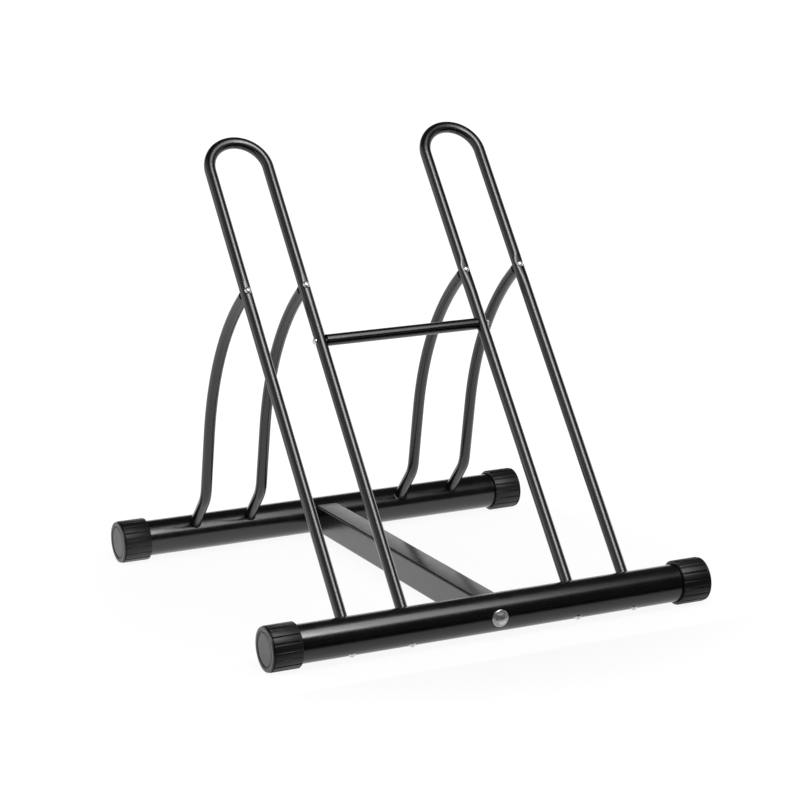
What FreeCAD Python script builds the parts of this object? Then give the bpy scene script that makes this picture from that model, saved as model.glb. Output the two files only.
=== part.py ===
# Floor bike rack for two bicycles.  Each front wheel stands in a tall hoop of bent
# tube.  The hoops grow out of a front base tube and lean back, two bent braces prop
# each hoop from a rear base tube, and a crossbar ties the two hoops together.
# Millimetres, +Z up, +X along the base tubes, +Y from the front tube to the rear one.
# The origin lies on the floor, in the middle of the rack.
import FreeCAD, Part
import Sketcher
from FreeCAD import Placement, Rotation, Vector
import os
from math import radians

SAME_LENGTH = 0.01      # millimetres
LEAST_CUT = 1e-6        # cubic millimetres

os.makedirs("parts", exist_ok=True)
doc = FreeCAD.newDocument("FloorBikeRack")

# ---------------------------------------------------------------- driving dimensions
SIZES = {
    # base
    "RackLength": 640.0,          # outer face of one cap to outer face of the other
    "BaseSpacing": 540.0,         # axis of the front tube to axis of the rear tube
    "BaseTubeDiameter": 50.8,     # 2 inch tube
    "BaseTubeWall": 1.5,
    # push-on end caps
    "CapDiameter": 60.0,          # the rack stands on the caps
    "CapSkirtLength": 42.0,
    "CapEndThickness": 5.0,
    "CapRimWidth": 3.2,
    "CapMoatDepth": 1.4,          # shallow ring between the rim and the inner disc
    "CapDiscDiameter": 39.0,
    "CapDiscDepth": 0.6,          # inner disc below the rim
    "CapEdgeRound": 1.2,
    "CapNeckDepth": 0.9,          # fine groove between end disc and ribbed skirt
    "CapNeckWidth": 1.2,
    "CapFluteCount": 18,
    "CapFluteWidth": 1.8,
    "CapFluteDepth": 0.8,
    # wheel hoops
    "HoopTubeDiameter": 16.0,     # 5/8 inch tube
    "HoopTubeWall": 1.5,
    "WheelSlot": 69.0,            # clear width between the legs of a hoop
    "HoopPitch": 328.0,           # middle of one hoop to middle of the other
    "HoopLean": 38.0,             # degrees back from upright
    "HoopArcHeight": 686.0,       # along the leg, front tube axis to the arc's centre
    # braces
    "BraceTubeDiameter": 16.0,
    "BraceTubeWall": 1.5,
    "BraceHeight": 497.0,         # along the leg, front tube axis to the brace
    "BraceTopRun": 14.0,          # straight before the long sweep, for the insert
    "BraceFootLean": 42.8,        # degrees forward from upright, above the rear tube
    "BraceFootRun": 90.6,         # rear tube axis to the corner of the knee
    "BraceShinRun": 100.0,        # corner of the knee to the end of the long sweep
    "BraceKneeRadius": 50.0,
    # crossbar
    "CrossbarDiameter": 16.0,
    "CrossbarWall": 1.5,
    "CrossbarHeight": 415.0,      # along the leg, front tube axis to the crossbar
    # centre beam
    "BeamWidth": 35.0,
    "BeamHeight": 40.0,
    "BeamWall": 2.0,
    "BeamCornerRadius": 3.0,
    # M5 pan head screws and the inserts pressed into the tube ends
    "ScrewDiameter": 5.0,
    "ScrewHeadDiameter": 9.5,
    "ScrewHeadHeight": 3.7,
    "ScrewSideHeight": 1.7,       # straight side of the head
    "ScrewShoulderDiameter": 8.4,
    "ScrewShoulderHeight": 2.9,
    "ScrewCrownDiameter": 5.2,
    "ScrewTipDiameter": 2.5,
    "ScrewSocketWidth": 1.2,
    "ScrewSocketSpan": 5.0,
    "ScrewSocketDepth": 2.2,
    "ShortScrewReach": 12.0,      # how far a screw enters the insert it pulls on
    "InsertLength": 13.0,
    # M8 bolts that hold the beam between the base tubes
    "BoltDiameter": 8.0,
    "BoltHeadFlats": 13.0,
    "BoltHeadHeight": 5.3,
    "BoltTipLength": 3.0,         # thread that stands out of the nut
    "WasherDiameter": 24.0,
    "WasherThickness": 2.0,
    "NutFlats": 13.0,
    "NutHeight": 6.5,
    "NutPlateThickness": 5.0,
    "NutPlateSetback": 3.0,       # base tube to nut plate
    # fits
    "SeatGap": 0.1,               # a piece and what it rests on
    "TubeEntryGap": 0.4,          # all round a tube where it enters a base tube
    "CapFitGap": 0.15,            # cap bore and base tube
    "InsertFitGap": 0.1,          # insert and tube bore
    "ThreadGap": 0.1,             # screw and threaded hole
    "ScrewHoleGap": 0.3,          # screw and plain hole
}

# Sizes that follow from the ones above.  In a hoop's own frame Z runs up the legs
# from the front tube's axis and Y points square out of the hoop's back.
FOLLOWING = {
    "BaseHeight": "CapDiameter / 2",
    "LegSpacing": "WheelSlot + HoopTubeDiameter",
    "InnerLeg": "(HoopPitch - LegSpacing) / 2",
    "OuterLeg": "(HoopPitch + LegSpacing) / 2",
    "TubeRadius": "BaseTubeDiameter / 2",
    "BoreRadius": "TubeRadius - BaseTubeWall",
    "LegRadius": "HoopTubeDiameter / 2",
    "LegDepth": "sqrt(BoreRadius ^ 2 - LegRadius ^ 2) - SeatGap",
    "FootDepth": "sqrt(BoreRadius ^ 2 - (BraceTubeDiameter / 2) ^ 2) - SeatGap",
    "BraceTopY": "LegRadius + SeatGap",
    "FootSlope": "90 - HoopLean - BraceFootLean",
    "RearY": "BaseSpacing * cos(HoopLean * 1deg)",
    "RearZ": "BaseSpacing * sin(HoopLean * 1deg)",
    "KneeY": "RearY - BraceFootRun * cos(FootSlope * 1deg)",
    "KneeZ": "RearZ + BraceFootRun * sin(FootSlope * 1deg)",
    "SweepStart": "BraceTopY + BraceTopRun",
    "KneeBack": "KneeY - SweepStart",
    "KneeDrop": "BraceHeight - KneeZ",
    "SweepTangent": "(KneeBack ^ 2 + KneeDrop ^ 2 - BraceShinRun ^ 2)"
                    " / (2 * (KneeBack + BraceShinRun))",
    "SweepTurn": "atan(KneeDrop / (KneeBack - SweepTangent)) / 1deg",
    "SweepRadius": "SweepTangent / tan(SweepTurn * 0.5deg)",
    "KneeTurn": "SweepTurn - FootSlope",
    "KneeTangent": "BraceKneeRadius * tan(KneeTurn * 0.5deg)",
    "ShinLength": "BraceShinRun - KneeTangent",
    "FootLength": "BraceFootRun - KneeTangent + FootDepth",
    "ScrewHole": "ScrewDiameter + 2 * ScrewHoleGap",
    "TappedHole": "ScrewDiameter + 2 * ThreadGap",
    "BoltHole": "BoltDiameter + 2 * ScrewHoleGap",
    "TappedBoltHole": "BoltDiameter + 2 * ThreadGap",
    "NutPlateStart": "TubeRadius + NutPlateSetback",
    "NutStart": "NutPlateStart + NutPlateThickness + SeatGap",
    "BoltSeat": "TubeRadius + SeatGap + WasherThickness + SeatGap",
    "BoltReach": "BoltSeat + NutStart + NutHeight + BoltTipLength",
    "BraceScrewReach": "HoopTubeDiameter + 2 * SeatGap + ShortScrewReach",
    "FootScrewReach": "TubeRadius + SeatGap - FootDepth + ShortScrewReach",
    "LegScrewReach": "TubeRadius + SeatGap - LegDepth + ShortScrewReach",
}

sheet = doc.addObject("Spreadsheet::Sheet", "Sizes")
for row, (name, value) in enumerate(SIZES.items(), start=1):
    sheet.set("A%d" % row, name)
    sheet.set("B%d" % row, repr(value))
    sheet.setAlias("B%d" % row, name)
for row, (name, formula) in enumerate(FOLLOWING.items(), start=len(SIZES) + 2):
    sheet.set("A%d" % row, name)
    sheet.set("B%d" % row, "=" + formula)
    sheet.setAlias("B%d" % row, name)
doc.recompute()


def ref(formula):
    """The formula with each size's name pointing at its cell."""
    words = sorted(list(SIZES) + list(FOLLOWING), key=len, reverse=True)
    out = []
    position = 0
    while position < len(formula):
        for word in words:
            if formula.startswith(word, position):
                out.append("Sizes." + word)
                position += len(word)
                break
        else:
            out.append(formula[position])
            position += 1
    return "".join(out)


def value_of(formula):
    """What a formula of sizes comes to, as a number."""
    result = sheet.evalExpression(ref(formula))
    return float(getattr(result, "Value", result))


# ---------------------------------------------------------------- sketch helpers
ORIGIN = (-1, 1)


def new_body(label):
    body = doc.addObject("PartDesign::Body", label)
    body.Label = label
    return body


def new_sketch(body, name, plane, offset=None, tilt=None):
    """A sketch on one of the body's origin planes, moved off it along its normal, or
    turned about its own X axis."""
    sketch = body.newObject("Sketcher::SketchObject", name)
    support = [f for f in body.Origin.OriginFeatures if f.Role == plane][0]
    sketch.AttachmentSupport = (support, [""])
    sketch.MapMode = "FlatFace"
    if offset:
        sketch.setExpression("AttachmentOffset.Base.z", ref(offset))
    if tilt:
        sketch.AttachmentOffset = Placement(Vector(), Rotation(Vector(1, 0, 0), value_of(tilt)))
        sketch.setExpression("AttachmentOffset.Rotation.Angle", ref(tilt))
    return sketch


def bind(sketch, index, name, formula):
    """Name a constraint and let a formula of sizes drive it."""
    sketch.renameConstraint(index, name)
    sketch.setExpression("Constraints." + name, ref(formula))


def pin(sketch, geometry, point, name, across, up):
    """Hold a sketch point at a place given by two formulas, None meaning zero."""
    for axis, kind, formula in ((-2, "DistanceX", across), (-1, "DistanceY", up)):
        if formula is None:
            sketch.addConstraint(Sketcher.Constraint("PointOnObject", geometry, point, axis))
        else:
            index = sketch.addConstraint(Sketcher.Constraint(
                kind, *ORIGIN, geometry, point, value_of(formula)))
            bind(sketch, index, name + kind[-1], formula)


def add_circle(sketch, name, diameter, across=None, up=None):
    centre = Vector(value_of(across) if across else 0, value_of(up) if up else 0, 0)
    circle = Part.Circle(centre, Vector(0, 0, 1), value_of(diameter) / 2)
    geometry = sketch.addGeometry(circle)
    pin(sketch, geometry, 3, name, across, up)
    index = sketch.addConstraint(Sketcher.Constraint("Diameter", geometry, value_of(diameter)))
    bind(sketch, index, name + "Diameter", diameter)


def add_ring(sketch, name, diameter, wall, across=None, up=None):
    """The section of a round tube."""
    add_circle(sketch, name + "Outer", diameter, across, up)
    add_circle(sketch, name + "Inner", "%s - 2 * %s" % (diameter, wall), across, up)


def add_polygon(sketch, name, corners):
    """A closed outline whose corners are pairs of formulas."""
    places = []
    for across, up in corners:
        places.append(Vector(value_of(across) if across else 0, value_of(up) if up else 0, 0))
    count = len(places)
    lines = []
    for i in range(count):
        lines.append(sketch.addGeometry(Part.LineSegment(places[i], places[(i + 1) % count])))
    for i in range(count):
        sketch.addConstraint(Sketcher.Constraint(
            "Coincident", lines[i], 2, lines[(i + 1) % count], 1))
        pin(sketch, lines[i], 1, "%s%d" % (name, i), *corners[i])


def add_rectangle(sketch, name, width, height):
    """A rectangle about the sketch's origin."""
    half_w = "%s / 2" % width
    half_h = "%s / 2" % height
    add_polygon(sketch, name, [("-" + half_w, "-" + half_h), (half_w, "-" + half_h),
                               (half_w, half_h), ("-" + half_w, half_h)])


def add_hexagon(sketch, name, flats):
    """A hexagon about the sketch's origin, with corners above and below."""
    side = "%s / 2" % flats
    low = "%s / 2 * tan(30deg)" % flats
    top = "%s / 2 / cos(30deg)" % flats
    add_polygon(sketch, name, [(None, "-" + top), (side, "-" + low), (side, low),
                               (None, top), ("-" + side, low), ("-" + side, "-" + low)])


# ---------------------------------------------------------------- feature helpers
def pad(body, sketch, length, midplane=False, reverse=False):
    feature = body.newObject("PartDesign::Pad", sketch.Name + "Pad")
    feature.Profile = sketch
    feature.Midplane = midplane
    feature.Reversed = reverse
    feature.setExpression("Length", ref(length))
    doc.recompute()
    return feature


def pocket(body, sketch, through=True, midplane=False, reverse=False, depth=None):
    """Cut a sketch out of the body, and make sure that it did cut."""
    before = body.Tip.Shape.Volume
    feature = body.newObject("PartDesign::Pocket", sketch.Name + "Pocket")
    feature.Profile = sketch
    feature.Midplane = midplane
    feature.Reversed = reverse
    if through:
        feature.Type = "ThroughAll"
    else:
        feature.setExpression("Length", ref(depth))
    doc.recompute()
    if not feature.Shape.Volume < before - LEAST_CUT:
        raise ValueError("%s in %s cuts nothing" % (feature.Name, body.Label))
    return feature


def revolve(body, sketch, axis="V_Axis"):
    feature = body.newObject("PartDesign::Revolution", sketch.Name + "Turn")
    feature.Profile = sketch
    feature.ReferenceAxis = (sketch, [axis])
    feature.Angle = 360
    doc.recompute()
    return feature


def pipe(body, profile, spine):
    feature = body.newObject("PartDesign::AdditivePipe", profile.Name + "Pipe")
    feature.Profile = profile
    feature.Spine = (spine, ["Edge%d" % (i + 1) for i in range(len(spine.Geometry))])
    doc.recompute()
    return feature


def place(item, x=None, y=None, z=None, turn=None, about=(1, 0, 0)):
    """Put a sub-part in the rack's frame, by formulas of sizes."""
    if turn:
        item.Placement = Placement(Vector(), Rotation(Vector(*about), value_of(turn)))
        item.setExpression("Placement.Rotation.Angle", ref(turn))
    for axis, formula in (("x", x), ("y", y), ("z", z)):
        if formula:
            item.setExpression("Placement.Base." + axis, ref(formula))


def hoop_point(out, along):
    """Y and Z in the rack's frame of a point in a hoop's frame."""
    y = "-BaseSpacing / 2 + (%s) * cos(HoopLean * 1deg) + (%s) * sin(HoopLean * 1deg)"
    z = "BaseHeight + (%s) * cos(HoopLean * 1deg) - (%s) * sin(HoopLean * 1deg)"
    return y % (out, along), z % (along, out)


def foot_point(below):
    """Y and Z of a point on a brace foot's axis, beyond the rear tube's axis."""
    y = "BaseSpacing / 2 + (%s) * sin(BraceFootLean * 1deg)" % below
    z = "BaseHeight - (%s) * cos(BraceFootLean * 1deg)" % below
    return y, z


def group(label, members):
    """Separate like solids that share one node."""
    compound = doc.addObject("Part::Compound", label)
    compound.Label = label
    compound.Links = members
    return compound


LEGS = {
    "left_outer": "-OuterLeg",
    "left_inner": "-InnerLeg",
    "right_inner": "InnerLeg",
    "right_outer": "OuterLeg",
}
TUBE_LENGTH = "RackLength - 2 * CapEndThickness - 2 * SeatGap"
FRONT_Y = "-BaseSpacing / 2"
REAR_Y = "BaseSpacing / 2"

nodes = []


# ---------------------------------------------------------------- base tubes
def base_tube(label, y, tilt, entering):
    """A base tube along X, with holes on one side for the tubes that stand in it, and
    screw holes straight opposite.  One bolt goes through its middle."""
    body = new_body(label)
    section = new_sketch(body, label + "Section", "YZ_Plane")
    add_ring(section, "Tube", "BaseTubeDiameter", "BaseTubeWall")
    pad(body, section, TUBE_LENGTH, midplane=True)
    entries = new_sketch(body, label + "Entries", "XY_Plane", tilt=tilt)
    screws = new_sketch(body, label + "Screws", "XY_Plane", tilt=tilt)
    for i, x in enumerate(LEGS.values()):
        add_circle(entries, "Entry%d" % i, entering + " + 2 * TubeEntryGap", across=x)
        add_circle(screws, "Screw%d" % i, "ScrewHole", across=x)
    pocket(body, entries, reverse=True)
    pocket(body, screws)
    bolt = new_sketch(body, label + "Bolt", "XZ_Plane")
    add_circle(bolt, "Bolt", "BoltHole")
    pocket(body, bolt, midplane=True)
    place(body, y=y, z="BaseHeight")
    return body


nodes.append(base_tube("front_base_tube", FRONT_Y, "-HoopLean", "HoopTubeDiameter"))
nodes.append(base_tube("rear_base_tube", REAR_Y, "BraceFootLean", "BraceTubeDiameter"))


# ---------------------------------------------------------------- end caps
def end_cap(label, x, y, turn):
    """A moulded cap pushed over a tube end.  Its own X runs from the end disc inward."""
    body = new_body(label)
    outer = "CapDiameter / 2"
    rim_outer = "CapDiameter / 2 - CapEdgeRound"
    rim_inner = rim_outer + " - CapRimWidth"
    neck = "CapDiameter / 2 - CapNeckDepth"
    neck_end = "CapEndThickness + CapNeckWidth"
    bore = "TubeRadius + CapFitGap"
    half = new_sketch(body, label + "Half", "XZ_Plane")
    add_polygon(half, "Cap", [
        ("CapDiscDepth", None),
        ("CapDiscDepth", "CapDiscDiameter / 2"),
        ("CapMoatDepth", "CapDiscDiameter / 2 + CapMoatDepth - CapDiscDepth"),
        ("CapMoatDepth", rim_inner + " - CapMoatDepth"),
        (None, rim_inner),
        (None, rim_outer),
        ("CapEdgeRound", outer),
        ("CapEndThickness", outer),
        ("CapEndThickness", neck),
        (neck_end, neck),
        (neck_end, outer),
        ("CapSkirtLength", outer),
        ("CapSkirtLength", bore),
        ("CapEndThickness", bore),
        ("CapEndThickness", None),
    ])
    revolve(body, half, "H_Axis")
    flute = new_sketch(body, label + "Flute", "YZ_Plane", offset="CapSkirtLength")
    side = "CapFluteWidth / 2"
    floor = "CapDiameter / 2 - CapFluteDepth"
    add_polygon(flute, "Flute", [("-" + side, outer + " + CapFluteDepth"), (None, floor),
                                 (side, outer + " + CapFluteDepth")])
    cut = pocket(body, flute, through=False, depth="CapSkirtLength - (%s)" % neck_end)
    pattern = body.newObject("PartDesign::PolarPattern", label + "Flutes")
    pattern.Originals = [cut]
    pattern.Axis = (half, ["H_Axis"])
    pattern.Angle = 360
    pattern.setExpression("Occurrences", ref("CapFluteCount"))
    body.Tip = pattern
    place(body, x=x, y=y, z="BaseHeight", turn=turn, about=(0, 0, 1))
    return body


for row_name, row_y in (("front", FRONT_Y), ("rear", REAR_Y)):
    nodes.append(end_cap(row_name + "_left_cap", "-RackLength / 2", row_y, None))
    nodes.append(end_cap(row_name + "_right_cap", "RackLength / 2", row_y, "180"))


# ---------------------------------------------------------------- centre beam
def centre_beam():
    """A rectangular tube between the base tubes, its ends shaped to fit round them."""
    body = new_body("centre_beam")
    section = new_sketch(body, "BeamSection", "XZ_Plane")
    add_rectangle(section, "Outer", "BeamWidth", "BeamHeight")
    block = pad(body, section, "BaseSpacing", midplane=True)
    long_edges = []
    for i, edge in enumerate(block.Shape.Edges):
        if abs(edge.BoundBox.YLength - value_of("BaseSpacing")) < SAME_LENGTH:
            long_edges.append("Edge%d" % (i + 1))
    corners = body.newObject("PartDesign::Fillet", "BeamCorners")
    corners.Base = (block, long_edges)
    corners.setExpression("Radius", ref("BeamCornerRadius"))
    doc.recompute()
    inside = new_sketch(body, "BeamInside", "XZ_Plane")
    add_rectangle(inside, "Inner", "(BeamWidth - 2 * BeamWall)", "(BeamHeight - 2 * BeamWall)")
    pocket(body, inside, midplane=True)
    saddles = new_sketch(body, "BeamSaddles", "YZ_Plane")
    for name, y in (("Front", FRONT_Y), ("Rear", REAR_Y)):
        add_circle(saddles, name, "BaseTubeDiameter + 2 * SeatGap", across=y)
    pocket(body, saddles, midplane=True)
    place(body, z="BaseHeight")
    return body


nodes.append(centre_beam())


# ---------------------------------------------------------------- hoops
def wheel_hoop(label, x, inner_side):
    """Two straight legs and a half-circle top, bent from one tube.  The inner leg,
    on side inner_side of the hoop, also carries an end of the crossbar."""
    body = new_body(label)
    spine = new_sketch(body, label + "Spine", "XZ_Plane")
    half = value_of("LegSpacing") / 2
    top = value_of("HoopArcHeight")
    bottom = -value_of("LegDepth")
    left_leg = spine.addGeometry(Part.LineSegment(Vector(-half, bottom, 0), Vector(-half, top, 0)))
    circle = Part.Circle(Vector(0, top, 0), Vector(0, 0, 1), half)
    crown = spine.addGeometry(Part.ArcOfCircle(circle, 0, radians(180)))
    right_leg = spine.addGeometry(Part.LineSegment(Vector(half, top, 0), Vector(half, bottom, 0)))
    spine.addConstraint(Sketcher.Constraint("Coincident", left_leg, 2, crown, 2))
    spine.addConstraint(Sketcher.Constraint("Coincident", crown, 1, right_leg, 1))
    pin(spine, left_leg, 2, "LeftTop", "-LegSpacing / 2", "HoopArcHeight")
    pin(spine, left_leg, 1, "LeftEnd", "-LegSpacing / 2", "-LegDepth")
    pin(spine, right_leg, 1, "RightTop", "LegSpacing / 2", "HoopArcHeight")
    pin(spine, right_leg, 2, "RightEnd", "LegSpacing / 2", "-LegDepth")
    index = spine.addConstraint(Sketcher.Constraint("DistanceY", *ORIGIN, crown, 3, top))
    bind(spine, index, "CrownHeight", "HoopArcHeight")
    section = new_sketch(body, label + "Section", "XY_Plane", offset="-LegDepth")
    add_ring(section, "Leg", "HoopTubeDiameter", "HoopTubeWall", across="-LegSpacing / 2")
    pipe(body, section, spine)
    holes = new_sketch(body, label + "BraceHoles", "XZ_Plane")
    add_circle(holes, "Left", "ScrewHole", across="-LegSpacing / 2", up="BraceHeight")
    add_circle(holes, "Right", "ScrewHole", across="LegSpacing / 2", up="BraceHeight")
    pocket(body, holes, midplane=True)
    cross = new_sketch(body, label + "CrossHole", "YZ_Plane")
    add_circle(cross, "Cross", "ScrewHole", up="CrossbarHeight")
    pocket(body, cross, reverse=inner_side > 0)
    place(body, x=x, y=FRONT_Y, z="BaseHeight", turn="-HoopLean")
    return body


nodes.append(wheel_hoop("left_hoop", "-HoopPitch / 2", 1))
nodes.append(wheel_hoop("right_hoop", "HoopPitch / 2", -1))


# ---------------------------------------------------------------- braces
def brace(label, x):
    """A bent prop.  It leaves the back of a hoop leg square, sweeps down in one long
    curve, runs on straight, and turns at the knee to enter the rear tube."""
    body = new_body(label)
    spine = new_sketch(body, label + "Spine", "YZ_Plane")
    turn = value_of("SweepTurn")
    slope = value_of("FootSlope")
    top = Vector(value_of("BraceTopY"), value_of("BraceHeight"), 0)
    start = Vector(value_of("SweepStart"), value_of("BraceHeight"), 0)
    radius = value_of("SweepRadius")
    knee_radius = value_of("BraceKneeRadius")

    def heading(degrees):
        return Rotation(Vector(0, 0, 1), -degrees).multVec(Vector(1, 0, 0))

    def bend(centre, size, from_angle, to_angle):
        circle = Part.Circle(centre, Vector(0, 0, 1), size)
        return Part.ArcOfCircle(circle, radians(from_angle), radians(to_angle))

    sweep_centre = start - Vector(0, radius, 0)
    shin_start = sweep_centre + heading(turn - 90) * radius
    shin_end = shin_start + heading(turn) * value_of("ShinLength")
    knee_centre = shin_end + heading(turn - 90) * knee_radius
    foot_start = knee_centre + heading(slope + 90) * knee_radius
    foot_end = foot_start + heading(slope) * value_of("FootLength")
    stub = spine.addGeometry(Part.LineSegment(top, start))
    sweep = spine.addGeometry(bend(sweep_centre, radius, 90 - turn, 90))
    shin = spine.addGeometry(Part.LineSegment(shin_start, shin_end))
    knee = spine.addGeometry(bend(knee_centre, knee_radius, -90 - turn, -90 - slope))
    foot = spine.addGeometry(Part.LineSegment(foot_start, foot_end))
    pin(spine, stub, 1, "Top", "BraceTopY", "BraceHeight")
    pin(spine, stub, 2, "Start", "SweepStart", "BraceHeight")
    pin(spine, sweep, 3, "Centre", "SweepStart", "BraceHeight - SweepRadius")
    spine.addConstraint(Sketcher.Constraint("Coincident", stub, 2, sweep, 2))
    spine.addConstraint(Sketcher.Constraint("Tangent", sweep, 1, shin, 1))
    spine.addConstraint(Sketcher.Constraint("Tangent", shin, 2, knee, 1))
    spine.addConstraint(Sketcher.Constraint("Tangent", knee, 2, foot, 1))
    index = spine.addConstraint(Sketcher.Constraint("Angle", shin, radians(-turn)))
    bind(spine, index, "ShinAngle", "-SweepTurn * 1deg")
    index = spine.addConstraint(Sketcher.Constraint("Angle", foot, radians(-slope)))
    bind(spine, index, "FootAngle", "-FootSlope * 1deg")
    index = spine.addConstraint(Sketcher.Constraint("Distance", shin, value_of("ShinLength")))
    bind(spine, index, "Shin", "ShinLength")
    index = spine.addConstraint(Sketcher.Constraint("Distance", foot, value_of("FootLength")))
    bind(spine, index, "Foot", "FootLength")
    index = spine.addConstraint(Sketcher.Constraint("Radius", knee, knee_radius))
    bind(spine, index, "Knee", "BraceKneeRadius")
    # the plane's normal points to -Y
    section = new_sketch(body, label + "Section", "XZ_Plane", offset="-BraceTopY")
    add_ring(section, "Top", "BraceTubeDiameter", "BraceTubeWall", up="BraceHeight")
    pipe(body, section, spine)
    place(body, x=x, y=FRONT_Y, z="BaseHeight", turn="-HoopLean")
    return body


for leg_name, leg_x in LEGS.items():
    side_name, rank = leg_name.split("_")
    nodes.append(brace("%s_%s_brace" % (side_name, rank), leg_x))


# ---------------------------------------------------------------- crossbar
def crossbar():
    """A straight tube between the inner legs."""
    body = new_body("crossbar")
    section = new_sketch(body, "CrossbarSection", "YZ_Plane")
    add_ring(section, "Bar", "CrossbarDiameter", "CrossbarWall")
    pad(body, section, "2 * (InnerLeg - LegRadius - SeatGap)", midplane=True)
    y, z = hoop_point("0", "CrossbarHeight")
    place(body, y=y, z=z)
    return body


nodes.append(crossbar())


# ---------------------------------------------------------------- inserts
def insert(label, bore, **where):
    """A threaded plug pressed into a tube end, starting at its own XY plane."""
    body = new_body(label)
    section = new_sketch(body, label + "Section", "XY_Plane")
    add_circle(section, "Outside", "%s - 2 * InsertFitGap" % bore)
    add_circle(section, "Thread", "TappedHole")
    pad(body, section, "InsertLength")
    place(body, **where)
    return body


HOOP_BORE = "(HoopTubeDiameter - 2 * HoopTubeWall)"
BRACE_BORE = "(BraceTubeDiameter - 2 * BraceTubeWall)"
BAR_BORE = "(CrossbarDiameter - 2 * CrossbarWall)"

leg_inserts = []
top_inserts = []
foot_inserts = []
for leg_name, leg_x in LEGS.items():
    y, z = hoop_point("0", "-LegDepth")
    leg_inserts.append(insert("leg_insert_" + leg_name, HOOP_BORE,
                              x=leg_x, y=y, z=z, turn="-HoopLean"))
    y, z = hoop_point("BraceTopY", "BraceHeight")
    top_inserts.append(insert("top_insert_" + leg_name, BRACE_BORE,
                              x=leg_x, y=y, z=z, turn="-90 - HoopLean"))
    y, z = foot_point("FootDepth")
    foot_inserts.append(insert("foot_insert_" + leg_name, BRACE_BORE,
                               x=leg_x, y=y, z=z, turn="BraceFootLean"))
y, z = hoop_point("0", "CrossbarHeight")
BAR_END = "InnerLeg - LegRadius - SeatGap"
bar_inserts = [
    insert("bar_insert_left", BAR_BORE, x="-(%s)" % BAR_END, y=y, z=z,
           turn="90", about=(0, 1, 0)),
    insert("bar_insert_right", BAR_BORE, x=BAR_END, y=y, z=z,
           turn="-90", about=(0, 1, 0)),
]
nodes.append(group("hoop_leg_inserts", leg_inserts))
nodes.append(group("brace_top_inserts", top_inserts))
nodes.append(group("brace_foot_inserts", foot_inserts))
nodes.append(group("crossbar_inserts", bar_inserts))


# ---------------------------------------------------------------- screws
def pan_screw(label, reach, **where):
    """A pan head screw.  Its head seats on its own XY plane, its shank runs up Z."""
    body = new_body(label)
    half = new_sketch(body, label + "Half", "XZ_Plane")
    shank = "ScrewDiameter / 2"
    head = "ScrewHeadDiameter / 2"
    add_polygon(half, "Screw", [
        (None, "-ScrewHeadHeight"),
        ("ScrewCrownDiameter / 2", "-ScrewHeadHeight"),
        ("ScrewShoulderDiameter / 2", "-ScrewShoulderHeight"),
        (head, "-ScrewSideHeight"),
        (head, None),
        (shank, None),
        (shank, reach + " - " + shank),
        ("ScrewTipDiameter / 2", reach),
        (None, reach),
    ])
    revolve(body, half)
    socket = new_sketch(body, label + "Socket", "XY_Plane", offset="-ScrewHeadHeight")
    arm = "ScrewSocketSpan / 2"
    side = "ScrewSocketWidth / 2"
    add_polygon(socket, "Cross", [
        (arm, "-" + side), (arm, side), (side, side), (side, arm),
        ("-" + side, arm), ("-" + side, side), ("-" + arm, side), ("-" + arm, "-" + side),
        ("-" + side, "-" + side), ("-" + side, "-" + arm), (side, "-" + arm),
        (side, "-" + side)])
    pocket(body, socket, through=False, reverse=True, depth="ScrewSocketDepth")
    place(body, **where)
    return body


leg_screws = []
brace_screws = []
foot_screws = []
for leg_name, leg_x in LEGS.items():
    y, z = hoop_point("0", "-(TubeRadius + SeatGap)")
    leg_screws.append(pan_screw("leg_screw_" + leg_name, "LegScrewReach",
                                x=leg_x, y=y, z=z, turn="-HoopLean"))
    y, z = hoop_point("-LegRadius - SeatGap", "BraceHeight")
    brace_screws.append(pan_screw("brace_screw_" + leg_name, "BraceScrewReach",
                                  x=leg_x, y=y, z=z, turn="-90 - HoopLean"))
    y, z = foot_point("TubeRadius + SeatGap")
    foot_screws.append(pan_screw("foot_screw_" + leg_name, "FootScrewReach",
                                 x=leg_x, y=y, z=z, turn="BraceFootLean"))
y, z = hoop_point("0", "CrossbarHeight")
SLOT_SIDE = "InnerLeg + LegRadius + SeatGap"
bar_screws = [
    pan_screw("bar_screw_left", "BraceScrewReach", x="-(%s)" % SLOT_SIDE, y=y, z=z,
              turn="90", about=(0, 1, 0)),
    pan_screw("bar_screw_right", "BraceScrewReach", x=SLOT_SIDE, y=y, z=z,
              turn="-90", about=(0, 1, 0)),
]
nodes.append(group("hoop_leg_screws", leg_screws))
nodes.append(group("brace_screws", brace_screws))
nodes.append(group("brace_foot_screws", foot_screws))
nodes.append(group("crossbar_screws", bar_screws))


# ---------------------------------------------------------------- beam fasteners
def beam_bolt(label, y, turn):
    """A hexagon head bolt through a base tube.  Its head seats on its own XY plane,
    its shank runs up Z."""
    body = new_body(label)
    shank = new_sketch(body, label + "Shank", "XY_Plane")
    add_circle(shank, "Shank", "BoltDiameter")
    pad(body, shank, "BoltReach")
    head = new_sketch(body, label + "Head", "XY_Plane")
    add_hexagon(head, "Head", "BoltHeadFlats")
    pad(body, head, "BoltHeadHeight", reverse=True)
    place(body, y=y, z="BaseHeight", turn=turn)
    return body


def washer(label, y, turn):
    body = new_body(label)
    section = new_sketch(body, label + "Section", "XY_Plane")
    add_circle(section, "Outside", "WasherDiameter")
    add_circle(section, "Hole", "BoltHole")
    pad(body, section, "WasherThickness")
    place(body, y=y, z="BaseHeight", turn=turn)
    return body


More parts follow.
